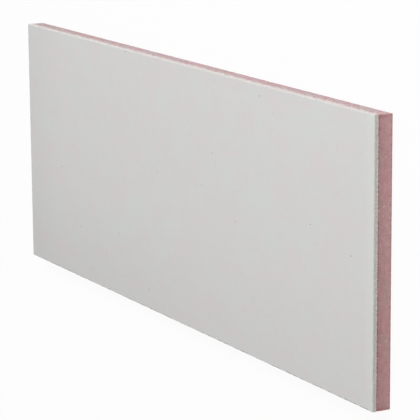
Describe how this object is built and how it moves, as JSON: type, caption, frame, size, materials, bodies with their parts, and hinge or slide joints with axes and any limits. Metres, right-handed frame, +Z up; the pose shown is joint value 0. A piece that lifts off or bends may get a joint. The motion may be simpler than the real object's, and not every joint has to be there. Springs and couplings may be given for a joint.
{
  "type": "insulated drywall sheet",
  "caption": "Flat rectangular wall lining sheet: a grey paper-faced plasterboard bonded to a thick pinkish rigid foam core, square cut on all sides.",
  "frame": {"origin": "middle of the foam's back face, which the sheet lies on", "axes": "+X along the length, +Y across the width, +Z up through the thickness, out of the plasterboard's face"},
  "size_m": [2.4, 0.9, 0.0625],
  "materials": {
    "board_paper": "matte",
    "pink_foam": "matte"
  },
  "bodies": {
    "root": {"plasterboard_facing": "board_paper", "foam_core": "pink_foam"}
  },
  "joints": []
}
